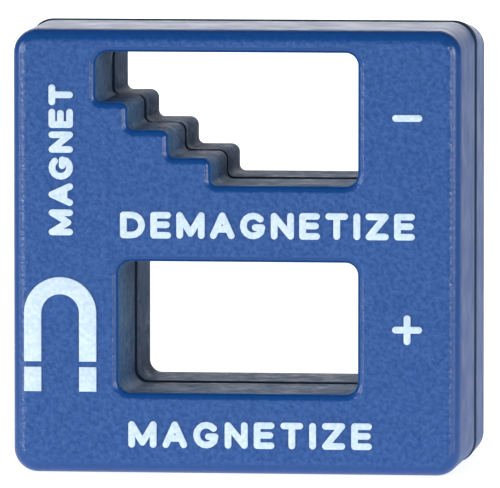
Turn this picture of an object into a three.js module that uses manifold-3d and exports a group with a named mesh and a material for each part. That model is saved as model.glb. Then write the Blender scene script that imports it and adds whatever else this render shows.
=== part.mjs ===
// Magnetizer and demagnetizer block: two moulded half shells closed on two
// ferrite bar magnets, with a plain window for magnetizing, a stepped window
// for demagnetizing, and raised white marks on the front face.
//
// Millimetres. +X to the right of the front face, +Y from front to back, +Z up.
// The origin is at the middle of the block's footprint on the table.

import * as THREE from 'three';
import { mergeVertices } from 'three/addons/utils/BufferGeometryUtils.js';
import { ConvexGeometry } from 'three/addons/geometries/ConvexGeometry.js';
import Module from 'manifold-3d';

const wasm = await Module();
wasm.setup();

// ---------------------------------------------------------------- dimensions

const WIDTH = 50.0;           // across the sides, at the parting line
const HEIGHT = 49.3;          // base to top, at the parting line
const DEPTH = 29.0;           // tips of the raised marks to the back face
const MARK_HEIGHT = 0.2;      // how far the marks stand out of the front face
const MARK_GAP = 0.02;        // ink film between a mark and the face
const FRONT_SHELL_DEPTH = 16.1;
const PARTING_GAP = 0.3;      // groove between the two shells

const DRAFT = 0.019;          // side and top walls lean in by this much per mm
const REAR_TOP_DRAFT = 0.05;  // the rear shell's top leans in more
const CORNER_RADIUS = 3.1;    // the four corners, seen from the front
const FRONT_EDGE = 1.6;       // rounding of the front face's outer edge
const BACK_EDGE = 1.0;        // rounding of the back face's outer edge
const OUTER_WALL = 1.9;
const FACE_WALL = 2.0;        // front and back walls
const LINER_WALL = 1.4;       // tube walls that line the windows

const WINDOW_LEFT = -13.0;
const WINDOW_RIGHT = 13.4;
const LOWER_FLOOR = 8.9;
const LOWER_CEILING = 23.35;
const UPPER_FLOOR = 31.75;
const UPPER_CEILING = 46.35;
const UPPER_LEFT = -15.5;
const WINDOW_CORNER = 1.4;
const STEP_CORNER = 0.7;
const LIP_ROUNDING = 0.85;    // the windows' front and back lips
const TREADS = [3.55, 4.5, 4.65];   // tread lengths, from the left
const STEP_HEIGHT = 3.03;

const MAGNET_SIZE = { x: 45.0, y: 24.2, z: 5.0 };
const MAGNET_CLEARANCE = 0.3;

const RIB_X = 18.5;           // spacer ribs that keep the magnets apart
const RIB_WIDTH = 1.2;
const PIN_X = 20.9;           // locating pins in the side columns
const PIN_HEIGHTS = [16.0, 40.0];
const PIN_RADIUS = 0.9;
const SOCKET_BORE = 1.25;
const SOCKET_RADIUS = 2.0;
const PIN_REACH = 2.6;

const CAP_HEIGHT = 2.94;      // height of the two function words
const SIDE_CAP_HEIGHT = 2.7;  // height of the word that runs up the left side
const STROKE = 0.74;          // width of a letter's stroke
const SIGN_LENGTH = 3.3;      // the plus and minus signs
const SIGN_STROKE = 0.75;

// Where the marks sit on the face: the middle of each one, and the words' lengths.
const MINUS_PLACE = [18.9, 39.3];
const PLUS_PLACE = [18.9, 16.1];
const UPPER_WORD = { text: 'DEMAGNETIZE', x: 3.5, z: 27.4, length: 32.5 };
const LOWER_WORD = { text: 'MAGNETIZE', x: 1.6, z: 4.35, length: 26.9 };
const SIDE_WORD = { text: 'MAGNET', x: -19.3, z: 34.5, length: 16.6 };

// A plain horseshoe magnet sign: an arch and two pole pieces below it.
const EMBLEM = { x: -19.4, top: 21.6, outer: 4.0, inner: 2.1, leg: 5.3, split: 0.6, pole: 2.7 };

// ------------------------------------------------------------ derived places

const FACE_Y = -DEPTH / 2 + MARK_HEIGHT;
const BACK_Y = DEPTH / 2;
const PARTING_Y = FACE_Y + FRONT_SHELL_DEPTH;
const REAR_SHELL_Y = PARTING_Y + PARTING_GAP;
const HALF_WIDTH = WIDTH / 2;
const BEYOND = 5;             // how far a cutter runs past what it cuts
const LOWER_MAGNET_Z = OUTER_WALL + MAGNET_CLEARANCE + MAGNET_SIZE.z / 2;
const MIDDLE_MAGNET_Z = (LOWER_CEILING + UPPER_FLOOR) / 2;
const MAGNET_Y = (FACE_Y + BACK_Y) / 2;

// ----------------------------------------------------------------- materials

const blueAbs = new THREE.MeshStandardMaterial({ color: 0x2f5aa8, roughness: 0.5, metalness: 0 });
const blueAbsRear = new THREE.MeshStandardMaterial({ color: 0x2b5299, roughness: 0.5, metalness: 0 });
const ferrite = new THREE.MeshStandardMaterial({ color: 0x2c2c2e, roughness: 0.8, metalness: 0.1 });
const whiteInk = new THREE.MeshStandardMaterial({ color: 0xe4eff7, roughness: 0.5, metalness: 0 });

// ------------------------------------------------------------------- helpers

// A closed three.js geometry as a solid that can be joined and cut.
function solid(geometry) {
  const bare = geometry.clone();
  bare.deleteAttribute('normal');
  bare.deleteAttribute('uv');
  const merged = mergeVertices(bare, 1e-4);
  return new wasm.Manifold(new wasm.Mesh({
    numProp: 3,
    vertProperties: new Float32Array(merged.attributes.position.array),
    triVerts: new Uint32Array(merged.index.array),
  }));
}

// The solid's surface as a three.js geometry again.
function surface(body) {
  const mesh = body.getMesh();
  const geometry = new THREE.BufferGeometry();
  geometry.setAttribute('position', new THREE.BufferAttribute(new Float32Array(mesh.vertProperties), 3));
  geometry.setIndex(new THREE.BufferAttribute(new Uint32Array(mesh.triVerts), 1));
  geometry.computeVertexNormals();
  return geometry;
}

function named(name, body, material) {
  const mesh = new THREE.Mesh(surface(body), material);
  mesh.name = name;
  return mesh;
}

// A closed outline in the plane of the front face, every corner rounded.
function roundedOutline(points, radii) {
  const shape = new THREE.Shape();
  points.forEach(([x, z], i) => {
    const here = new THREE.Vector2(x, z);
    const before = new THREE.Vector2(...points[(i + points.length - 1) % points.length]);
    const after = new THREE.Vector2(...points[(i + 1) % points.length]);
    const radius = Array.isArray(radii) ? radii[i] : radii;
    const enter = here.clone().add(before.sub(here).setLength(radius));
    const leave = here.clone().add(after.sub(here).setLength(radius));
    if (i === 0) {
      shape.moveTo(enter.x, enter.y);
    } else {
      shape.lineTo(enter.x, enter.y);
    }
    shape.quadraticCurveTo(here.x, here.y, leave.x, leave.y);
  });
  shape.closePath();
  return shape;
}

function rectangle(left, right, floor, ceiling, radius) {
  return roundedOutline([[left, floor], [right, floor], [right, ceiling], [left, ceiling]], radius);
}

// A closed body through a row of outlines, each at its own depth, front first.
// The outlines are the same shape grown or shrunk, so they have equal counts.
function loft(sections, curveSegments = 4) {
  const rings = sections.map(([shape, y]) => (
    shape.extractPoints(curveSegments).shape.slice(0, -1).map((p) => [p.x, y, p.y])
  ));
  const count = rings[0].length;
  const triangles = [];
  const contour = rings[0].map(([x, , z]) => new THREE.Vector2(x, z));
  const cap = THREE.ShapeUtils.triangulateShape(contour, []);
  const last = (rings.length - 1) * count;
  cap.forEach(([a, b, c]) => triangles.push(a, b, c, last + c, last + b, last + a));
  for (let ring = 0; ring + 1 < rings.length; ring += 1) {
    for (let i = 0; i < count; i += 1) {
      const a = ring * count + i;
      const b = ring * count + (i + 1) % count;
      triangles.push(a, b + count, b, a, a + count, b + count);
    }
  }
  const geometry = new THREE.BufferGeometry();
  geometry.setAttribute('position', new THREE.Float32BufferAttribute(rings.flat(2), 3));
  geometry.setIndex(triangles);
  return solid(geometry);
}

// One outline pushed straight through, from depth y0 back to y1.
function prism(shape, y0, y1, curveSegments = 4) {
  return loft([[shape, y0], [shape, y1]], curveSegments);
}

function block(x0, x1, y0, y1, z0, z1) {
  const geometry = new THREE.BoxGeometry(x1 - x0, y1 - y0, z1 - z0);
  geometry.translate((x0 + x1) / 2, (y0 + y1) / 2, (z0 + z1) / 2);
  return solid(geometry);
}

// A round bar along the depth of the block.
function bar(x, z, radius, y0, y1) {
  const geometry = new THREE.CylinderGeometry(radius, radius, y1 - y0, 20);
  geometry.translate(x, (y0 + y1) / 2, z);
  return solid(geometry);
}

const sum = (bodies) => bodies.reduce((a, b) => a.add(b));

// -------------------------------------------------------------- outer block

// The block's outline at one depth: the walls lean in towards the front and the
// back from the parting line, but the base stays flat to stand on.
function outerOutline(y, inset) {
  const away = Math.abs(y - PARTING_Y);
  const side = HALF_WIDTH - DRAFT * away - inset;
  const top = HEIGHT - (y > PARTING_Y ? REAR_TOP_DRAFT : DRAFT) * away - inset;
  return rectangle(-side, side, inset, top, CORNER_RADIUS - inset / 2);
}

// The whole block before it is split, with its two outer edges rounded.
function outerBlock() {
  const turns = [0, 0.25, 0.5, 0.75, 1].map((part) => part * Math.PI / 2);
  const edge = (radius, faceY, inwards) => turns.map((turn) => {
    const y = faceY + inwards * radius * (1 - Math.cos(turn));
    return [outerOutline(y, radius * (1 - Math.sin(turn))), y];
  });
  const front = edge(FRONT_EDGE, FACE_Y, 1);
  const back = edge(BACK_EDGE, BACK_Y, -1).reverse();
  return loft([...front, [outerOutline(PARTING_Y, 0), PARTING_Y], ...back]);
}

// ------------------------------------------------------------------ windows

function lowerWindow(grow = 0) {
  return rectangle(
    WINDOW_LEFT - grow, WINDOW_RIGHT + grow,
    LOWER_FLOOR - grow, LOWER_CEILING + grow, WINDOW_CORNER,
  );
}

// The stepped window: its floor climbs towards the left in three steps, so a
// tool can be held further and further from the middle magnet.
function upperWindow(grow = 0) {
  const points = [[UPPER_LEFT - grow, UPPER_CEILING + grow]];
  const radii = [WINDOW_CORNER];
  let x = UPPER_LEFT;
  TREADS.forEach((tread, step) => {
    const z = UPPER_FLOOR + STEP_HEIGHT * (TREADS.length - step) - grow;
    points.push([x - grow, z]);
    x += tread;
    points.push([x - grow, z]);
    radii.push(STEP_CORNER, STEP_CORNER);
  });
  points.push([x - grow, UPPER_FLOOR - grow]);
  points.push([WINDOW_RIGHT + grow, UPPER_FLOOR - grow]);
  points.push([WINDOW_RIGHT + grow, UPPER_CEILING + grow]);
  radii.push(STEP_CORNER, WINDOW_CORNER, WINDOW_CORNER);
  return roundedOutline(points, radii);
}

// What is cut away for one window: the straight hole, and the rounding of its
// front and back lips, where the outline grows as it nears the face.
function windowCutter(outline) {
  const flare = (depth) => LIP_ROUNDING - Math.sqrt(LIP_ROUNDING ** 2 - (LIP_ROUNDING - depth) ** 2);
  const levels = [0, 0.15, 0.4, 1].map((part) => part * LIP_ROUNDING);
  const front = levels.map((depth) => [outline(flare(depth)), FACE_Y + depth]);
  const back = levels.map((depth) => [outline(flare(depth)), BACK_Y - depth]).reverse();
  const widest = outline(LIP_ROUNDING);
  return loft([[widest, FACE_Y - BEYOND], ...front, ...back, [widest, BACK_Y + BEYOND]]);
}

// ------------------------------------------------------------------- shells

// The room inside both shells, around the liners of the two windows.
function cavity() {
  const top = HEIGHT - OUTER_WALL;
  const side = HALF_WIDTH - OUTER_WALL;
  const inside = prism(
    rectangle(-side, side, OUTER_WALL, top, CORNER_RADIUS - OUTER_WALL),
    FACE_Y + FACE_WALL, BACK_Y - FACE_WALL,
  );
  const liners = [lowerWindow(LINER_WALL), upperWindow(LINER_WALL)]
    .map((outline) => prism(outline, FACE_Y - BEYOND, BACK_Y + BEYOND));
  return inside.subtract(sum(liners));
}

// Ribs in the side columns: below, between and above the magnets' ends.
function ribs(y0, y1) {
  const lower = LOWER_MAGNET_Z + MAGNET_SIZE.z / 2 + MAGNET_CLEARANCE;
  const between = MIDDLE_MAGNET_Z - MAGNET_SIZE.z / 2 - MAGNET_CLEARANCE;
  const above = MIDDLE_MAGNET_Z + MAGNET_SIZE.z / 2 + MAGNET_CLEARANCE;
  const spans = [[lower, between], [above, HEIGHT - OUTER_WALL / 2]];
  const half = RIB_WIDTH / 2;
  return sum([-RIB_X, RIB_X].flatMap((x) => (
    spans.map(([z0, z1]) => block(x - half, x + half, y0, y1, z0, z1))
  )));
}

const pinPlaces = [-PIN_X, PIN_X].flatMap((x) => PIN_HEIGHTS.map((z) => [x, z]));
const whole = outerBlock();
const room = cavity();
const cutters = sum([windowCutter(lowerWindow), windowCutter(upperWindow)]);

function slab(y0, y1) {
  return block(-WIDTH, WIDTH, y0, y1, -BEYOND, HEIGHT + BEYOND);
}

function frontShell() {
  const rootY = FACE_Y + FACE_WALL / 2;
  const posts = sum(pinPlaces.map(([x, z]) => bar(x, z, SOCKET_RADIUS, rootY, PARTING_Y)));
  const bores = sum(pinPlaces.map(([x, z]) => (
    bar(x, z, SOCKET_BORE, PARTING_Y - PIN_REACH - MAGNET_CLEARANCE, PARTING_Y + BEYOND)
  )));
  return whole.intersect(slab(FACE_Y - BEYOND, PARTING_Y))
    .subtract(room)
    .add(ribs(rootY, PARTING_Y))
    .add(posts)
    .subtract(bores)
    .subtract(cutters);
}

function rearShell() {
  const rootY = BACK_Y - FACE_WALL / 2;
  const posts = sum(pinPlaces.map(([x, z]) => bar(x, z, SOCKET_RADIUS, REAR_SHELL_Y, rootY)));
  const pins = sum(pinPlaces.map(([x, z]) => bar(x, z, PIN_RADIUS, PARTING_Y - PIN_REACH, rootY)));
  return whole.intersect(slab(REAR_SHELL_Y, BACK_Y + BEYOND))
    .subtract(room)
    .add(ribs(REAR_SHELL_Y, rootY))
    .add(posts)
    .add(pins)
    .subtract(cutters);
}

function magnet(z) {
  const { x, y, z: thick } = MAGNET_SIZE;
  return block(-x / 2, x / 2, MAGNET_Y - y / 2, MAGNET_Y + y / 2, z - thick / 2, z + thick / 2);
}

// -------------------------------------------------------------------- marks

// Every mark is drawn with a round-ended pen: a stroke is the hull of a disc
// at each of its two ends, and strokes that share an end share its disc.
const PEN_SIDES = 16;
const PEN_TOLERANCE = 0.004;  // slivers thinner than this are merged away

function pen(width, [x0, z0], [x1, z1]) {
  const points = [];
  for (const [x, z] of [[x0, z0], [x1, z1]]) {
    for (let i = 0; i < PEN_SIDES; i += 1) {
      const angle = (i / PEN_SIDES) * Math.PI * 2;
      const px = x + Math.cos(angle) * width / 2;
      const pz = z + Math.sin(angle) * width / 2;
      points.push(new THREE.Vector3(px, FACE_Y - MARK_HEIGHT, pz));
      points.push(new THREE.Vector3(px, FACE_Y - MARK_GAP, pz));
    }
  }
  return solid(new ConvexGeometry(points));
}

function drawn(width, lines) {
  return sum(lines.flatMap((line) => (
    line.slice(1).map((point, i) => pen(width, line[i], point))
  ))).asOriginal().simplify(PEN_TOLERANCE);
}

// Points along an arc, angles in degrees from the right, anticlockwise.
function arc(cx, cz, rx, rz, from, to, steps) {
  return Array.from({ length: steps + 1 }, (_, i) => {
    const angle = THREE.MathUtils.degToRad(from + (to - from) * i / steps);
    return [cx + rx * Math.cos(angle), cz + rz * Math.sin(angle)];
  });
}

// Letters as pen lines on a cell that is `w` wide and 1 high between the
// middles of its outermost strokes.
const LETTERS = {
  A: { w: 0.9, lines: [[[0, 0], [0.45, 1], [0.9, 0]], [[0.16, 0.32], [0.74, 0.32]]] },
  D: { w: 0.92, lines: [[[0, 0], [0, 1], ...arc(0.42, 0.5, 0.5, 0.5, 90, -90, 8), [0, 0]]] },
  E: { w: 0.7, lines: [[[0.7, 0], [0, 0], [0, 1], [0.7, 1]], [[0, 0.52], [0.64, 0.52]]] },
  G: {
    w: 0.94,
    lines: [[...arc(0.49, 0.5, 0.49, 0.5, 42, 322, 12), [0.93, 0.42], [0.6, 0.42]]],
  },
  I: { w: 0, lines: [[[0, 0], [0, 1]]] },
  M: { w: 1.08, lines: [[[0, 0], [0, 1], [0.54, 0.1], [1.08, 1], [1.08, 0]]] },
  N: { w: 0.82, lines: [[[0, 0], [0, 1], [0.82, 0], [0.82, 1]]] },
  T: { w: 0.8, lines: [[[0, 1], [0.8, 1]], [[0.4, 1], [0.4, 0]]] },
  Z: { w: 0.82, lines: [[[0, 1], [0.82, 1], [0, 0], [0.82, 0]]] },
};

// A word, centred on (x, z), with the gaps between its letters opened or
// closed until it is `length` long. `up` turns it to read from the base up.
function word({ text, x, z, length }, capHeight, up = false) {
  const cell = capHeight - STROKE;
  const widths = [...text].map((letter) => LETTERS[letter].w * cell);
  const inked = widths.reduce((a, b) => a + b, 0) + STROKE * text.length;
  const gap = (length - inked) / (text.length - 1);
  let start = -length / 2 + STROKE / 2;
  return [...text].map((letter, i) => {
    const lines = LETTERS[letter].lines.map((line) => line.map(([u, v]) => {
      const along = start + u * cell;
      const across = (v - 0.5) * cell;
      return up ? [x - across, z + along] : [x + along, z + across];
    }));
    start += widths[i] + STROKE + gap;
    const name = `word_${text.toLowerCase()}_${String(i + 1).padStart(2, '0')}_${letter.toLowerCase()}`;
    return named(name, drawn(STROKE, lines), whiteInk);
  });
}

function minusMark([x, z]) {
  const reach = (SIGN_LENGTH - SIGN_STROKE) / 2;
  return drawn(SIGN_STROKE, [[[x - reach, z], [x + reach, z]]]);
}

function plusMark([x, z]) {
  const reach = (SIGN_LENGTH - SIGN_STROKE) / 2;
  return drawn(SIGN_STROKE, [
    [[x - reach, z], [x + reach, z]],
    [[x, z - reach], [x, z + reach]],
  ]);
}

function emblem() {
  const { x, top, outer, inner, leg, split, pole } = EMBLEM;
  const centre = top - outer;
  const foot = centre - leg;
  const y0 = FACE_Y - MARK_HEIGHT;
  const y1 = FACE_Y - MARK_GAP;
  const arch = new THREE.Shape();
  arch.moveTo(x + outer, foot);
  arch.lineTo(x + outer, centre);
  arch.absarc(x, centre, outer, 0, Math.PI, false);
  arch.lineTo(x - outer, foot);
  arch.lineTo(x - inner, foot);
  arch.lineTo(x - inner, centre);
  arch.absarc(x, centre, inner, Math.PI, 0, true);
  arch.lineTo(x + inner, foot);
  arch.closePath();
  const poleTop = foot - split;
  const left = block(x - outer, x - inner, y0, y1, poleTop - pole, poleTop);
  const right = block(x + inner, x + outer, y0, y1, poleTop - pole, poleTop);
  return [
    named('emblem_arch', prism(arch, y0, y1, 14), whiteInk),
    named('emblem_pole_left', left, whiteInk),
    named('emblem_pole_right', right, whiteInk),
  ];
}

// ----------------------------------------------------------------- assembly

const demagnetizer = new THREE.Group();
demagnetizer.name = 'demagnetizer';

const housing = new THREE.Group();
housing.add(named('front_shell', frontShell(), blueAbs));
housing.add(named('rear_shell', rearShell(), blueAbsRear));
demagnetizer.add(housing);

const magnets = new THREE.Group();
magnets.add(named('middle_magnet', magnet(MIDDLE_MAGNET_Z), ferrite));
magnets.add(named('bottom_magnet', magnet(LOWER_MAGNET_Z), ferrite));
demagnetizer.add(magnets);

const marks = new THREE.Group();
marks.add(named('minus_mark', minusMark(MINUS_PLACE), whiteInk));
marks.add(named('plus_mark', plusMark(PLUS_PLACE), whiteInk));
marks.add(...word(UPPER_WORD, CAP_HEIGHT));
marks.add(...word(LOWER_WORD, CAP_HEIGHT));
marks.add(...word(SIDE_WORD, SIDE_CAP_HEIGHT, true));
marks.add(...emblem());
demagnetizer.add(marks);

export default demagnetizer;
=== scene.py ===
# %% [markdown]
# # A magnetizer and demagnetizer block
#
# This pocket tool is a square of blue moulded plastic with two windows. A screwdriver pulled
# through the lower window becomes magnetic; moved over the steps of the upper one, it loses
# its magnetism again. Outside there is only plastic and a few white marks, so everything
# depends on the roundings, the parting line and the way satin plastic meets the light.
#
# The lesson starts by loading the design model. It is the fixed frame: pieces made here take
# their place from it, and two of them stand in for its plain shells.

import math

import bpy
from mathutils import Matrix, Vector


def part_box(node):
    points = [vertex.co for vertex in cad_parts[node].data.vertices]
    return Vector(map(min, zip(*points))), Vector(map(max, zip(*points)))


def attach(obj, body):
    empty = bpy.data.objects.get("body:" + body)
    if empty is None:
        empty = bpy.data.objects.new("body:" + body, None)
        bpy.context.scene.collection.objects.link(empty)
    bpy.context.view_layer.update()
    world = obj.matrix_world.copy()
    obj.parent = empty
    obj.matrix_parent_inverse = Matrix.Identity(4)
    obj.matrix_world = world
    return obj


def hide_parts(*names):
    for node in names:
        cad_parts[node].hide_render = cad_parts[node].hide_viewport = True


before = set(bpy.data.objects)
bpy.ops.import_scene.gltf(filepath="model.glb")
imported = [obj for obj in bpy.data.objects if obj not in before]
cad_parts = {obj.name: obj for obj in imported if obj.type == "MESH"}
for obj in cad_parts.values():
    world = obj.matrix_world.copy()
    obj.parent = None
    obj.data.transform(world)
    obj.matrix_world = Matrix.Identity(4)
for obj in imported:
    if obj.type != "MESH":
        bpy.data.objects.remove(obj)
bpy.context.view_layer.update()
MM = 0.001
front_low, front_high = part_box("front_shell")
rear_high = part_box("rear_shell")[1]
block_size = [round(v / MM, 2) for v in rear_high - front_low]
print("nodes:", len(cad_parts), "block:", block_size, "mm")

# %% [markdown]
# ## The camera
#
# The block is seen from a little to the right and a little above, from far away through a
# long lens, so its edges stay almost parallel. A camera that is placed by two angles and a
# distance round the thing it looks at is easy to move and easy to read.

# %% Set up the camera
AZIMUTH = math.radians(6.66)
ELEVATION = math.radians(4.03)
DISTANCE = 1.037
LENS = 672.0
AIM = Vector((-0.09, 0.1, 24.38)) * MM

towards_camera = Vector((
    math.sin(AZIMUTH) * math.cos(ELEVATION),
    -math.cos(AZIMUTH) * math.cos(ELEVATION),
    math.sin(ELEVATION),
))
bpy.ops.object.select_all(action="DESELECT")
bpy.ops.object.camera_add(location=AIM + towards_camera * DISTANCE)
camera = bpy.context.object
camera.name = "camera"
camera.rotation_euler = (-towards_camera).to_track_quat("-Z", "Y").to_euler()
camera.data.sensor_width = 36.0
camera.data.lens = LENS
camera.data.clip_end = 20.0
bpy.context.scene.camera = camera
print("camera stands", round(DISTANCE, 3), "m from the block")

# %% [markdown]
# ## The sizes of the block
#
# Both shells are cut to the same outline and the same two windows, so their sizes are stated
# once, in millimetres, and the helpers below turn them into metres. The depths come from the
# frame, which keeps the two models the same size; the back stops a hair short of the frame's,
# so that no rounding error carries it past.

# %% State the sizes
HAIR = 0.001
WIDTH = (front_high.x - front_low.x) / MM
HEIGHT = front_high.z / MM
FACE_Y = front_low.y / MM
PARTING_Y = front_high.y / MM
PARTING_GAP = 0.3
REAR_Y = PARTING_Y + PARTING_GAP
BACK_Y = rear_high.y / MM - HAIR

WINDOW_LEFT, WINDOW_RIGHT = -13.0, 13.4
LOWER_FLOOR, LOWER_CEILING = 8.9, 23.35
UPPER_FLOOR, UPPER_CEILING = 31.75, 46.35
UPPER_LEFT = -15.5
TREADS = (3.55, 4.5, 4.65)
STEP_HEIGHT = 3.03

FRONT_SIDE_DRAFT = 0.0075
FRONT_TOP_DRAFT = 0.016
REAR_SIDE_DRAFT = 0.019
REAR_TOP_DRAFT = 0.075
FRONT_CORNER = 2.7
REAR_CORNER = 2.6
WINDOW_CORNER = 1.4
STEP_NOSE = 0.95
STEP_ROOT = 0.7
FRONT_EDGE = 1.6
BACK_EDGE = 1.0
LIP = 0.85
PARTING_EDGE = 0.38

risers = []
run = UPPER_LEFT
for step, tread in enumerate(TREADS):
    run += tread
    risers.append((run, UPPER_FLOOR + STEP_HEIGHT * (len(TREADS) - step)))
print("risers at", [round(x, 2) for x, z in risers], "treads at", [round(z, 2) for x, z in risers])

# %% [markdown]
# ## Helpers for choosing faces and edges
#
# An edit-mode operator works on whatever is selected. In a script nobody clicks on the mesh,
# so the selection is made from places: every face, edge or corner is asked where it is, and
# the test is a small function written beside the step that needs it. The select mode is set
# first, because in vertex mode Blender also selects each face whose corners are all selected.

# %% Selection helpers
TOUCH = 0.01
BASE_BAND = 2.0
TOP_BAND = 1.6


def near(a, b, slack=TOUCH):
    return abs(a - b) < slack


def millimetres(vector):
    return vector / MM


def edit(obj):
    bpy.ops.object.select_all(action="DESELECT")
    bpy.context.view_layer.objects.active = obj
    obj.select_set(True)
    bpy.ops.object.mode_set(mode="EDIT")
    bpy.ops.mesh.select_all(action="DESELECT")


def choose(obj, kind, test):
    """Selects in edit mode the VERT, EDGE or FACE items that pass the test, and counts them."""
    bpy.ops.mesh.select_mode(type=kind)
    bpy.ops.object.mode_set(mode="OBJECT")
    mesh = obj.data
    for item in (*mesh.vertices, *mesh.edges, *mesh.polygons):
        item.select = False
    points = [millimetres(v.co) for v in mesh.vertices]
    count = 0
    if kind == "VERT":
        for v in mesh.vertices:
            v.select = test(points[v.index])
            count += v.select
    elif kind == "EDGE":
        for e in mesh.edges:
            e.select = test(*[points[i] for i in e.vertices])
            count += e.select
    else:
        for f in mesh.polygons:
            f.select = test(millimetres(f.center), f.normal)
            count += f.select
    bpy.ops.object.mode_set(mode="EDIT")
    return count


def rim_edges(obj, y, test):
    """Chooses the edges in the plane at depth y where the flat face there meets a wall."""
    mesh = obj.data
    bpy.ops.mesh.select_mode(type="EDGE")
    bpy.ops.object.mode_set(mode="OBJECT")
    flat = {}
    for f in mesh.polygons:
        in_plane = all(near(mesh.vertices[i].co.y / MM, y) for i in f.vertices)
        for key in f.edge_keys:
            flat.setdefault(key, []).append(in_plane)
    for item in (*mesh.vertices, *mesh.edges, *mesh.polygons):
        item.select = False
    count = 0
    for e in mesh.edges:
        a, b = [millimetres(mesh.vertices[i].co) for i in e.vertices]
        sides = flat.get(e.key, [])
        e.select = any(sides) and not all(sides) and test((a + b) / 2)
        count += e.select
    bpy.ops.object.mode_set(mode="EDIT")
    return count


def cut(axis, at):
    """Cuts the selected faces with a plane across an axis, in millimetres."""
    bpy.ops.mesh.bisect(plane_co=Vector(axis) * at * MM, plane_no=axis)


def in_lower_window(x, z, grow=0):
    wide = WINDOW_LEFT - grow < x < WINDOW_RIGHT + grow
    return wide and LOWER_FLOOR - grow < z < LOWER_CEILING + grow


def in_upper_window(x, z, grow=0):
    wide = UPPER_LEFT - grow < x < WINDOW_RIGHT + grow
    high = UPPER_FLOOR - grow < z < UPPER_CEILING + grow
    return wide and high and all(x > riser - grow or z > tread - grow for riser, tread in risers)


def window_lines(grow=0):
    """Every x and every z where a window has an edge, with the windows grown all round."""
    xs = [UPPER_LEFT - grow, WINDOW_LEFT - grow, WINDOW_RIGHT + grow]
    zs = [LOWER_FLOOR - grow, LOWER_CEILING + grow, UPPER_FLOOR - grow, UPPER_CEILING + grow]
    return xs + [x - grow for x, z in risers], zs + [z - grow for x, z in risers]


def on_outline(p):
    """True near the block's outer walls, where the middle of the mesh can't be."""
    at_side = abs(p.x) > WIDTH / 2 - 2 * FRONT_CORNER
    return at_side or p.z < BASE_BAND or p.z > HEIGHT - TOP_BAND


# %% [markdown]
# ## A flat sheet with two windows
#
# The real shells are injection moulded: plastic fills the space between two steel halves, and
# the windows are where the steel halves touch. A shape like this is best begun flat. A plane
# is cut with straight bisect lines at every window edge and step, and the cells that are air
# are deleted. After that the cuts are only in the way, and a limited dissolve merges all that
# lies in one plane. A face can't have a hole in it, so one cut through both windows has to
# stay: it is marked as a seam, and the dissolve is told to leave seams alone.

# %% Cut the sheet
SPLIT_X = 3.0


def make_sheet(name, y):
    bpy.ops.object.select_all(action="DESELECT")
    bpy.ops.mesh.primitive_plane_add(
        size=1, rotation=(math.pi / 2, 0, 0), location=Vector((0, y, HEIGHT / 2)) * MM)
    sheet = bpy.context.object
    sheet.name = name
    sheet.data.name = name
    sheet.scale = (WIDTH * MM, HEIGHT * MM, 1)
    bpy.ops.object.transform_apply(location=True, rotation=True, scale=True)
    edit(sheet)
    xs, zs = window_lines()
    for axis, places in (((1, 0, 0), xs + [SPLIT_X]), ((0, 0, 1), zs)):
        for place in places:
            bpy.ops.mesh.select_all(action="SELECT")
            cut(axis, place)
    air = choose(sheet, "FACE", lambda c, n: in_upper_window(c.x, c.z) or in_lower_window(c.x, c.z))
    bpy.ops.mesh.delete(type="FACE")
    choose(sheet, "EDGE", lambda a, b: near(a.x, SPLIT_X) and near(b.x, SPLIT_X))
    bpy.ops.mesh.mark_seam()
    bpy.ops.mesh.select_all(action="SELECT")
    bpy.ops.mesh.dissolve_limited(angle_limit=math.radians(1), delimit={"SEAM"})
    bpy.ops.object.mode_set(mode="OBJECT")
    print(name, "sheet:", air, "cells of air,", len(sheet.data.polygons), "faces are left")
    return sheet


# %% [markdown]
# ## Rounded corners, seen from the front
#
# There are four kinds of corner: the block's own, the windows', the noses of the steps and
# their roots. Each kind has its own radius. While the sheet is still flat, a corner is one
# vertex, and bevelling a vertex draws a clean arc in the plane of the sheet.

# %% Round the corners of the sheet
def corner_kinds(outer_radius):
    half = WIDTH / 2
    outer = [(side, z) for side in (-half, half) for z in (0, HEIGHT)]
    windows = [(x, z) for x in (WINDOW_LEFT, WINDOW_RIGHT) for z in (LOWER_FLOOR, LOWER_CEILING)]
    windows += [(UPPER_LEFT, UPPER_CEILING), (WINDOW_RIGHT, UPPER_CEILING)]
    windows += [(WINDOW_RIGHT, UPPER_FLOOR)]
    root_xs = [UPPER_LEFT] + [x for x, z in risers]
    root_zs = [z for x, z in risers] + [UPPER_FLOOR]
    return (
        (outer, outer_radius, 12),
        (windows, WINDOW_CORNER, 8),
        (risers, STEP_NOSE, 8),
        (list(zip(root_xs, root_zs)), STEP_ROOT, 6),
    )


def at_one_of(p, places):
    return any(near(p.x, x) and near(p.z, z) for x, z in places)


def round_corners(sheet, outer_radius):
    for places, radius, segments in corner_kinds(outer_radius):
        found = choose(sheet, "VERT", lambda p: at_one_of(p, places))
        bpy.ops.mesh.bevel(offset=radius * MM, segments=segments, affect="VERTICES", profile=0.5)
        print(sheet.name, found, "corners rounded to", radius, "mm")


# %% [markdown]
# ## Depth and draft
#
# The sheet is pulled to the shell's depth. A moulded part has to slip out of its mould, so its
# outer walls lean in by half a degree to one degree, away from the parting line. On this block
# that is 0.1 to 0.3 mm, but it is what makes the two shells meet in a slight ridge. The top of
# the rear shell leans in by four degrees, so from the front it hides behind that ridge. Two
# moulds never match exactly either: the front shell is a fifth of a millimetre smaller than
# the rear one all round, and the edge of the rear one shows as a dark line. The front shell's
# windows open by the same amount towards the parting line, so that the dark line runs on
# inside them. An outline is scaled towards the middle of
# the base, which keeps the base flat to stand on; a window is scaled about its own middle.

# %% Pull the sheet to depth
MISMATCH = 0.18


def shrink_outline(shell, y, sides, top):
    choose(shell, "VERT", lambda p: near(p.y, y) and on_outline(p))
    bpy.ops.transform.resize(
        value=(1 - 2 * sides / WIDTH, 1, 1 - top / HEIGHT), center_override=(0, y * MM, 0))


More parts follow.
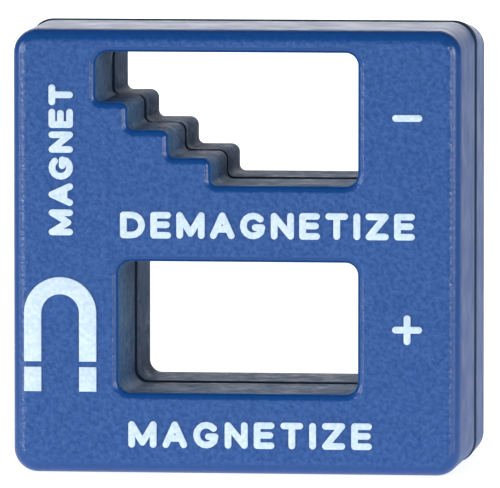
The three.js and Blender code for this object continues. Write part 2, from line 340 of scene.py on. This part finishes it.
def widen_windows(shell, y, by):
    bar = (LOWER_CEILING + UPPER_FLOOR) / 2
    windows = (
        (lambda z: z < bar, WINDOW_LEFT, LOWER_FLOOR, LOWER_CEILING),
        (lambda z: z > bar, UPPER_LEFT, UPPER_FLOOR, UPPER_CEILING),
    )
    for belongs, left, low, high in windows:
        choose(shell, "VERT", lambda p: near(p.y, y) and not on_outline(p) and belongs(p.z))
        middle = Vector(((left + WINDOW_RIGHT) / 2, y, (low + high) / 2)) * MM
        growth = (1 + 2 * by / (WINDOW_RIGHT - left), 1, 1 + 2 * by / (high - low))
        bpy.ops.transform.resize(value=growth, center_override=middle)


def pull_to_depth(shell, flat_y, deep_y, side_draft, top_draft, smaller):
    bpy.ops.mesh.select_all(action="SELECT")
    bpy.ops.mesh.extrude_region_move(
        TRANSFORM_OT_translate={"value": (0, (deep_y - flat_y) * MM, 0)})
    bpy.ops.mesh.select_all(action="SELECT")
    bpy.ops.mesh.normals_make_consistent(inside=False)
    depth = abs(deep_y - flat_y)
    shrink_outline(shell, flat_y, smaller, smaller)
    if smaller:
        widen_windows(shell, flat_y, smaller)
    shrink_outline(shell, deep_y, smaller + side_draft * depth, smaller + top_draft * depth)
    print(shell.name, "top leans in by", round(top_draft * depth, 2), "mm")


# %% [markdown]
# ## Edges
#
# Nothing on a moulded part is sharp. The outer edge of the front face has a generous radius,
# the windows' lips a smaller one, and the two edges that meet at the parting line are just
# broken. Those two small roundings and the groove between them draw a line round the block.

# %% Round the edges of the faces and of the parting line
def round_edges(shell, flat_y, deep_y, face_edge):
    jobs = (
        ("lips", deep_y, lambda m: not on_outline(m), LIP, 6),
        ("outer edge", deep_y, on_outline, face_edge, 10),
        ("parting edges", flat_y, lambda m: True, PARTING_EDGE, 3),
    )
    for what, y, test, radius, segments in jobs:
        found = rim_edges(shell, y, test)
        bpy.ops.mesh.bevel(offset=radius * MM, segments=segments, affect="EDGES", profile=0.5)
        print(shell.name, what, "rounded:", found, "edges at", radius, "mm")


# %% [markdown]
# ## The parting groove
#
# Where two moulded shells meet, neither edge is sharp, so a fine V runs round the block. Left
# open, light would shine through it. The rear shell therefore carries a low tongue that
# bridges the gap between the shells, set back from every edge, so that the groove has a dark
# bottom. The rim of the shell is inset and the middle of it is raised.

# %% Raise the tongue
TONGUE_STEP = 0.3
TONGUE_REACH = PARTING_GAP - 0.02


def flat_faces(shell, y, test=lambda c: True):
    return choose(shell, "FACE", lambda c, n: near(c.y, y) and abs(n.y) > 0.99 and test(c))


def raise_tongue(shell, flat_y):
    flat_faces(shell, flat_y)
    bpy.ops.mesh.inset(thickness=TONGUE_STEP * MM, depth=0, use_boundary=True, use_even_offset=True)
    bpy.ops.mesh.extrude_region_move(
        TRANSFORM_OT_translate={"value": (0, -TONGUE_REACH * MM, 0)})
    print(shell.name, "tongue stands", round(TONGUE_REACH, 2), "mm out of the parting plane")


# %% [markdown]
# ## The hollow inside
#
# The shells are hollow: walls stand round the rim and round both windows, and the magnets lie
# between them. The flat side that faces the other shell is cut with the same kind of lines as
# the sheet was, but with the windows grown by the thickness of their walls. The cells between
# the walls are then pushed in until only the face wall remains.

# %% Hollow the shell out
OUTER_WALL = 1.9
LINER_WALL = 1.4
FACE_WALL = 2.0


def in_hollow(x, z):
    between_walls = abs(x) < WIDTH / 2 - OUTER_WALL and OUTER_WALL < z < HEIGHT - OUTER_WALL
    in_liner = in_lower_window(x, z, LINER_WALL) or in_upper_window(x, z, LINER_WALL)
    return between_walls and not in_liner


def hollow(shell, rim_y, deep_y):
    xs, zs = window_lines(LINER_WALL)
    xs += [OUTER_WALL - WIDTH / 2, WIDTH / 2 - OUTER_WALL]
    zs += [OUTER_WALL, HEIGHT - OUTER_WALL]
    for axis, places in (((1, 0, 0), xs), ((0, 0, 1), zs)):
        for place in places:
            flat_faces(shell, rim_y)
            cut(axis, place)
    cells = flat_faces(shell, rim_y, lambda c: in_hollow(c.x, c.z))
    depth = deep_y - rim_y
    inwards = depth - math.copysign(FACE_WALL, depth)
    bpy.ops.mesh.extrude_region_move(TRANSFORM_OT_translate={"value": (0, inwards * MM, 0)})
    print(shell.name, cells, "cells pushed in by", round(abs(inwards), 1), "mm")


# %% [markdown]
# ## Finishing a moulding
#
# The mesh is now closed, with many small faces in its roundings and a few very large flat
# ones. Smooth shading would bend the light across those large faces, so the normals are
# weighted by area: the flats win, and the roundings blend between them.

# %% Finish a moulding
def finish_moulding(shell):
    bpy.ops.mesh.select_all(action="SELECT")
    bpy.ops.mesh.remove_doubles(threshold=0.002 * MM)
    bpy.ops.mesh.dissolve_degenerate(threshold=0.001 * MM)
    bpy.ops.mesh.normals_make_consistent(inside=False)
    bpy.ops.object.mode_set(mode="OBJECT")
    bpy.ops.object.shade_smooth_by_angle(angle=math.radians(40))
    weighted = shell.modifiers.new("weighted normals", "WEIGHTED_NORMAL")
    weighted.keep_sharp = True
    weighted.weight = 100
    bpy.ops.object.modifier_apply(modifier=weighted.name)
    print(shell.name, "has", len(shell.data.polygons), "faces")


def make_shell(name, flat_y, deep_y, corner, face_edge, drafts, smaller, tongue):
    shell = make_sheet(name, flat_y)
    edit(shell)
    round_corners(shell, corner)
    pull_to_depth(shell, flat_y, deep_y, *drafts, smaller)
    round_edges(shell, flat_y, deep_y, face_edge)
    rim_y = flat_y
    if tongue:
        raise_tongue(shell, flat_y)
        rim_y -= TONGUE_REACH
    hollow(shell, rim_y, deep_y)
    finish_moulding(shell)
    return shell


front = make_shell(
    "front_shell_moulding", PARTING_Y, FACE_Y, FRONT_CORNER, FRONT_EDGE,
    (FRONT_SIDE_DRAFT, FRONT_TOP_DRAFT), MISMATCH, tongue=False)
rear = make_shell(
    "rear_shell_moulding", REAR_Y, BACK_Y, REAR_CORNER, BACK_EDGE,
    (REAR_SIDE_DRAFT, REAR_TOP_DRAFT), 0, tongue=True)

# %% [markdown]
# ## The white marks
#
# On the real block each letter is a low raised shape whose top has been stamped with white
# foil. The design model has the letters as exact solids with square edges. A copy of each
# one is merged, its front outline is softened with a fine bevel, and it stands for the plain
# letter. Copying keeps every letter exactly where the design put it.

# %% Soften the marks
MARK_EDGE = 0.06


def soften_mark(node):
    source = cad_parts[node]
    mark = bpy.data.objects.new(node + "_stamped", source.data.copy())
    bpy.context.scene.collection.objects.link(mark)
    edit(mark)
    bpy.ops.mesh.select_all(action="SELECT")
    bpy.ops.mesh.remove_doubles(threshold=0.0002 * MM)
    bpy.ops.mesh.normals_make_consistent(inside=False)
    bpy.ops.mesh.dissolve_limited(angle_limit=math.radians(1))
    low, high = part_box(node)
    rim_edges(mark, low.y / MM, lambda m: True)
    bpy.ops.mesh.bevel(offset=MARK_EDGE * MM, segments=2, affect="EDGES", profile=0.5)
    bpy.ops.object.mode_set(mode="OBJECT")
    bpy.ops.object.shade_smooth_by_angle(angle=math.radians(35))
    return mark


def is_mark(node):
    return node.startswith(("word_", "emblem_")) or node.endswith("_mark")


mark_nodes = [node for node in sorted(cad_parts) if is_mark(node)]
marks = {node: soften_mark(node) for node in mark_nodes}
print("marks softened:", len(marks))

# %% [markdown]
# ## Blue plastic
#
# The colour is a deep, saturated blue. What makes it look paler from the front, and grey at a
# glancing angle, is the light reflected by the surface, not the pigment, so the pigment stays
# dark. The flat face was moulded against steel that sparks had eroded: a grain of half a
# millimetre and finer, which fades out on the roundings. The outer walls rubbed along the
# steel when the shell slipped out of the mould, and are duller. The walls of the windows are
# the dullest, their roughness worn in patches, and their grey glancing reflection is painted
# into the colour as a greyer, lighter blue, with the real reflection turned down. Painted shade
# darkens the groove between the shells. The surface normal tells face from wall, and the
# place on the block tells outer walls from windows and the groove.

# %% Blue plastic material
PIGMENT = ((0.002, 0.060, 0.262), (0.024, 0.102, 0.340))
# A greyer, lighter blue: painted grey reflection for the walls of the windows.
PAINTED_WALL_REFLECTION = ((0.030, 0.095, 0.180), (0.065, 0.165, 0.290))
# A dark grey: painted shade for the groove between the shells.
GROOVE_SHADE = (0.030, 0.054, 0.085)

REFLECTION_SIDE = (18, 20)
REFLECTION_DEPTH = (12.9, 13.4)
REFLECTION_FADE = 0.5
GROOVE_HALF = PARTING_GAP / 2 + 0.24
GROOVE_FADE = 0.1

GRAIN = (1900, 3.0, 0.55)
CLOUD = (300, 3.0, 0.55)
PATCHES = (700, 2.0, 0.6)
CRISP, SOFT = (0.35, 0.65), (0.3, 0.7)

FACE_NOT_WALL = (0.1, 0.5)
FLAT_NOT_ROUND = (0.9, 0.995)
FAINT_GRAIN = 0.15
REFLECTION_COVER = (0.6, 0.95)
SATIN_FACE = (0.22, 0.28)
DULL_WALL = (0.44, 0.58)
WORN_PATCHES = (0.62, 0.9)
GROOVE_ROUGHNESS = 0.9
CLEAN_GLINT, DULLED_GLINT = 0.5, 0.05


def node_material(name):
    material = bpy.data.materials.new(name)
    material.use_nodes = True
    nodes, links = material.node_tree.nodes, material.node_tree.links
    return material, nodes, links, nodes["Principled BSDF"]


def coordinates(nodes):
    return nodes.get("Texture Coordinate") or nodes.new("ShaderNodeTexCoord")


def feed(links, value, socket):
    """Gives a socket its value: a link from another node, a colour or a plain number."""
    if isinstance(value, bpy.types.NodeSocket):
        links.new(value, socket)
    elif isinstance(value, tuple):
        socket.default_value = (*value, 1)
    else:
        socket.default_value = value


def noise(nodes, links, scale, detail, roughness=0.5):
    texture = nodes.new("ShaderNodeTexNoise")
    texture.inputs["Scale"].default_value = scale
    texture.inputs["Detail"].default_value = detail
    texture.inputs["Roughness"].default_value = roughness
    links.new(coordinates(nodes).outputs["Object"], texture.inputs["Vector"])
    return texture.outputs["Fac"]


def spread(nodes, links, value, low, high, out_low, out_high):
    """Turns values between low and high into values between out_low and out_high."""
    ramp = nodes.new("ShaderNodeMapRange")
    ends = {"From Min": low, "From Max": high, "To Min": out_low, "To Max": out_high}
    for key, number in ends.items():
        ramp.inputs[key].default_value = number
    links.new(value, ramp.inputs["Value"])
    return ramp.outputs["Result"]


def fade(nodes, links, distance, start, end):
    """1 up to the start and 0 from the end on, both in millimetres."""
    return spread(nodes, links, distance, start * MM, end * MM, 1, 0)


def bump(nodes, links, height, distance, strength):
    node = nodes.new("ShaderNodeBump")
    node.inputs["Distance"].default_value = distance
    node.inputs["Strength"].default_value = strength
    links.new(height, node.inputs["Height"])
    return node.outputs["Normal"]


def blend(nodes, links, factor, first, second, kind="FLOAT"):
    """Goes from the first value to the second as the factor goes from 0 to 1."""
    mix = nodes.new("ShaderNodeMix")
    mix.data_type = kind
    links.new(factor, mix.inputs["Factor"])
    feed(links, first, mix.inputs["A"])
    feed(links, second, mix.inputs["B"])
    return mix.outputs["Result"]


def mixed(nodes, links, factor, first, second):
    return blend(nodes, links, factor, first, second, kind="RGBA")


def arithmetic(nodes, links, operation, first, second=0.0):
    node = nodes.new("ShaderNodeMath")
    node.operation = operation
    links.new(first, node.inputs[0])
    feed(links, second, node.inputs[1])
    return node.outputs["Value"]


def split(nodes, links, vector):
    parts = nodes.new("ShaderNodeSeparateXYZ")
    links.new(vector, parts.inputs["Vector"])
    return parts.outputs


def facing(nodes, links):
    """1 where the surface faces straight to the front or the back, 0 on the walls."""
    normal = split(nodes, links, coordinates(nodes).outputs["Normal"])
    return arithmetic(nodes, links, "ABSOLUTE", normal["Y"])


def near_windows(nodes, links, wall):
    """1 on the walls inside the rectangle that holds both windows, 0 at the outer walls."""
    place = split(nodes, links, coordinates(nodes).outputs["Object"])
    middle = (LOWER_FLOOR + UPPER_CEILING) / 2 * MM
    reach = (UPPER_CEILING - LOWER_FLOOR) / 2 + LIP
    side = arithmetic(nodes, links, "ABSOLUTE", place["X"])
    level = arithmetic(nodes, links, "SUBTRACT", place["Z"], middle)
    level = arithmetic(nodes, links, "ABSOLUTE", level)
    depth = arithmetic(nodes, links, "ABSOLUTE", place["Y"])
    beside = fade(nodes, links, side, *REFLECTION_SIDE)
    above = fade(nodes, links, level, reach, reach + REFLECTION_FADE)
    inside = fade(nodes, links, depth, *REFLECTION_DEPTH)
    walls = arithmetic(nodes, links, "MAXIMUM", wall, inside)
    around = arithmetic(nodes, links, "MULTIPLY", beside, above)
    return arithmetic(nodes, links, "MULTIPLY", walls, around)


def in_groove(nodes, links):
    """1 in the groove between the shells, where shade is painted, 0 elsewhere."""
    place = split(nodes, links, coordinates(nodes).outputs["Object"])
    depth = arithmetic(nodes, links, "SUBTRACT", place["Y"], (PARTING_Y + REAR_Y) / 2 * MM)
    depth = arithmetic(nodes, links, "ABSOLUTE", depth)
    return fade(nodes, links, depth, GROOVE_HALF, GROOVE_HALF + GROOVE_FADE)


def blue_plastic(name):
    material, nodes, links, shader = node_material(name)
    grain = noise(nodes, links, *GRAIN)
    cloud = noise(nodes, links, *CLOUD)
    patches = noise(nodes, links, *PATCHES)
    specks = spread(nodes, links, grain, *CRISP, 0, 1)

    straight = facing(nodes, links)
    face = spread(nodes, links, straight, *FACE_NOT_WALL, 0, 1)
    wall = spread(nodes, links, straight, *FACE_NOT_WALL, 1, 0)
    flat = spread(nodes, links, straight, *FLAT_NOT_ROUND, FAINT_GRAIN, 1)
    # The walls of the windows, under a cloudy cover, carry a painted grey reflection.
    window_walls = near_windows(nodes, links, wall)
    cover = spread(nodes, links, cloud, *SOFT, *REFLECTION_COVER)
    painted_reflection = arithmetic(nodes, links, "MULTIPLY", window_walls, cover)
    groove = in_groove(nodes, links)

    speckle = arithmetic(nodes, links, "MULTIPLY", specks, flat)
    pigment = mixed(nodes, links, speckle, *PIGMENT)
    # Painted grey reflection on the window walls, mixed into the colour.
    reflection_tint = mixed(nodes, links, specks, *PAINTED_WALL_REFLECTION)
    with_reflection = mixed(nodes, links, painted_reflection, pigment, reflection_tint)
    # Painted shade in the groove between the shells.
    links.new(mixed(nodes, links, groove, with_reflection, GROOVE_SHADE), shader.inputs["Base Color"])

    satin = spread(nodes, links, cloud, *SOFT, *SATIN_FACE)
    dull = spread(nodes, links, cloud, *SOFT, *DULL_WALL)
    worn = spread(nodes, links, patches, *CRISP, *WORN_PATCHES)
    clean = blend(nodes, links, face, dull, satin)
    patched_roughness = blend(nodes, links, painted_reflection, clean, worn)
    roughness = blend(nodes, links, groove, patched_roughness, GROOVE_ROUGHNESS)
    links.new(roughness, shader.inputs["Roughness"])
    # The real reflection is turned down where the grey reflection and the groove's shade are
    # painted.
    painted_areas = arithmetic(nodes, links, "MAXIMUM", painted_reflection, groove)
    glint = blend(nodes, links, painted_areas, CLEAN_GLINT, DULLED_GLINT)
    links.new(glint, shader.inputs["Specular IOR Level"])

    grained = arithmetic(nodes, links, "MAXIMUM", flat, window_walls)
    relief = arithmetic(nodes, links, "MULTIPLY", grain, grained)
    links.new(bump(nodes, links, relief, 0.0003, 0.6), shader.inputs["Normal"])
    shader.inputs["IOR"].default_value = 1.5
    return material


front_plastic = blue_plastic("front_blue_plastic")
rear_plastic = blue_plastic("rear_blue_plastic")
print("plastics:", front_plastic.name, rear_plastic.name)

# %% [markdown]
# ## White stamping foil and ferrite
#
# The foil is thin and slightly bluish, and the grain of the plastic shows through it. The
# ferrite magnets inside are ground ceramic: dark grey and matte, with a fine speckle.

# %% White foil and ferrite materials
FOIL = ((0.52, 0.70, 0.88), (0.71, 0.84, 0.95))
FERRITE = ((0.022, 0.022, 0.025), (0.038, 0.038, 0.041))


def white_foil():
    material, nodes, links, shader = node_material("white_foil")
    grain = noise(nodes, links, 2600, 2.0)
    colour = mixed(nodes, links, spread(nodes, links, grain, *SOFT, 0, 1), *FOIL)
    links.new(colour, shader.inputs["Base Color"])
    links.new(spread(nodes, links, grain, *SOFT, 0.4, 0.55), shader.inputs["Roughness"])
    links.new(bump(nodes, links, grain, 0.00002, 0.4), shader.inputs["Normal"])
    return material


def ferrite():
    material, nodes, links, shader = node_material("ground_ferrite")
    speck = noise(nodes, links, 2200, 4.0)
    cloud = noise(nodes, links, 180, 3.0)
    colour = mixed(nodes, links, spread(nodes, links, cloud, *SOFT, 0, 1), *FERRITE)
    links.new(colour, shader.inputs["Base Color"])
    links.new(spread(nodes, links, speck, *SOFT, 0.6, 0.85), shader.inputs["Roughness"])
    links.new(bump(nodes, links, speck, 0.00003, 0.5), shader.inputs["Normal"])
    return material


foil = white_foil()
ceramic = ferrite()


def paint(obj, material):
    obj.data.materials.clear()
    obj.data.materials.append(material)


paint(front, front_plastic)
paint(rear, rear_plastic)
for mark in marks.values():
    paint(mark, foil)
for node in ("middle_magnet", "bottom_magnet"):
    paint(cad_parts[node], ceramic)

# %% [markdown]
# ## The floor
#
# A pale floor carries on to the edge of the view, so there is no horizon. It glows by its own
# emission, and the glow is a painted pool of light: brightest where it runs from front to back
# under the block and widens behind it. The side walls mirror that pool at a glancing angle, and
# the roundings mirror the quieter floor beside it, so their edges read dark.

# %% Floor
POOL_EDGE = (0.05, 0.16)
POOL_WIDENING = 0.35
POOL_GLOW, FLOOR_GLOW = 0.85, 0.3

bpy.ops.object.select_all(action="DESELECT")
bpy.ops.mesh.primitive_plane_add(size=12, location=(0, 0, 0))
floor = bpy.context.object
floor.name = "floor"
material, nodes, links, shader = node_material("glowing_floor")
shader.inputs["Base Color"].default_value = (0.5, 0.5, 0.5, 1)
shader.inputs["Roughness"].default_value = 0.9
shader.inputs["Emission Color"].default_value = (1, 1, 1, 1)
place = split(nodes, links, coordinates(nodes).outputs["Object"])
across = arithmetic(nodes, links, "ABSOLUTE", place["X"])
behind = arithmetic(nodes, links, "MAXIMUM", place["Y"])
widening = arithmetic(nodes, links, "MULTIPLY", behind, POOL_WIDENING)
beyond = arithmetic(nodes, links, "SUBTRACT", across, widening)
pool = spread(nodes, links, beyond, *POOL_EDGE, POOL_GLOW, FLOOR_GLOW)
# Painted pool of light: the floor's emission is strongest under and behind the block.
links.new(pool, shader.inputs["Emission Strength"])
paint(floor, material)
print("the floor glows", POOL_GLOW, "in the pool and", FLOOR_GLOW, "beside it")

# %% [markdown]
# ## The light
#
# The light is soft: a weak panel in front for the face, one behind that gives the top its
# bright sheen, and a low, brighter one on each side, whose long reflections draw the light
# lines in the roundings of the side edges. A panel's power follows from how bright it should
# look and from its size.

# %% Light
world = bpy.data.worlds.new("studio")
bpy.context.scene.world = world
world.use_nodes = True
world.node_tree.nodes["Background"].inputs["Color"].default_value = (1, 1, 1, 1)
world.node_tree.nodes["Background"].inputs["Strength"].default_value = 0.12


def panel(name, place, width, height, brightness):
    """A soft panel that faces the block."""
    bpy.ops.object.light_add(type="AREA", location=place)
    light = bpy.context.object
    light.name = name
    light.data.shape = "RECTANGLE"
    light.data.size = width
    light.data.size_y = height
    light.data.energy = brightness * math.pi * width * height
    towards = AIM - light.location
    light.rotation_euler = towards.to_track_quat("-Z", "Y").to_euler()


panel("front_panel", (-0.2, -1.7, 0.62), 1.4, 1.2, 0.7)
panel("left_panel", (-1.0, -0.65, 0.24), 0.7, 0.6, 7.5)
panel("right_panel", (1.06, -0.56, 0.22), 0.5, 0.55, 8)
panel("back_panel", (-0.25, 1.3, 0.46), 1.2, 0.94, 3.2)
bpy.context.scene.view_settings.view_transform = "Standard"

# %% [markdown]
# ## What each piece is
#
# Each piece is tied to the block's one body and takes the place of its plain twin in the design
# model.

# %% Tie the pieces to the frame
for piece, node in ((front, "front_shell"), (rear, "rear_shell")):
    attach(piece, "root")
    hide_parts(node)
for node, mark in marks.items():
    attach(mark, "root")
    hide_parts(node)
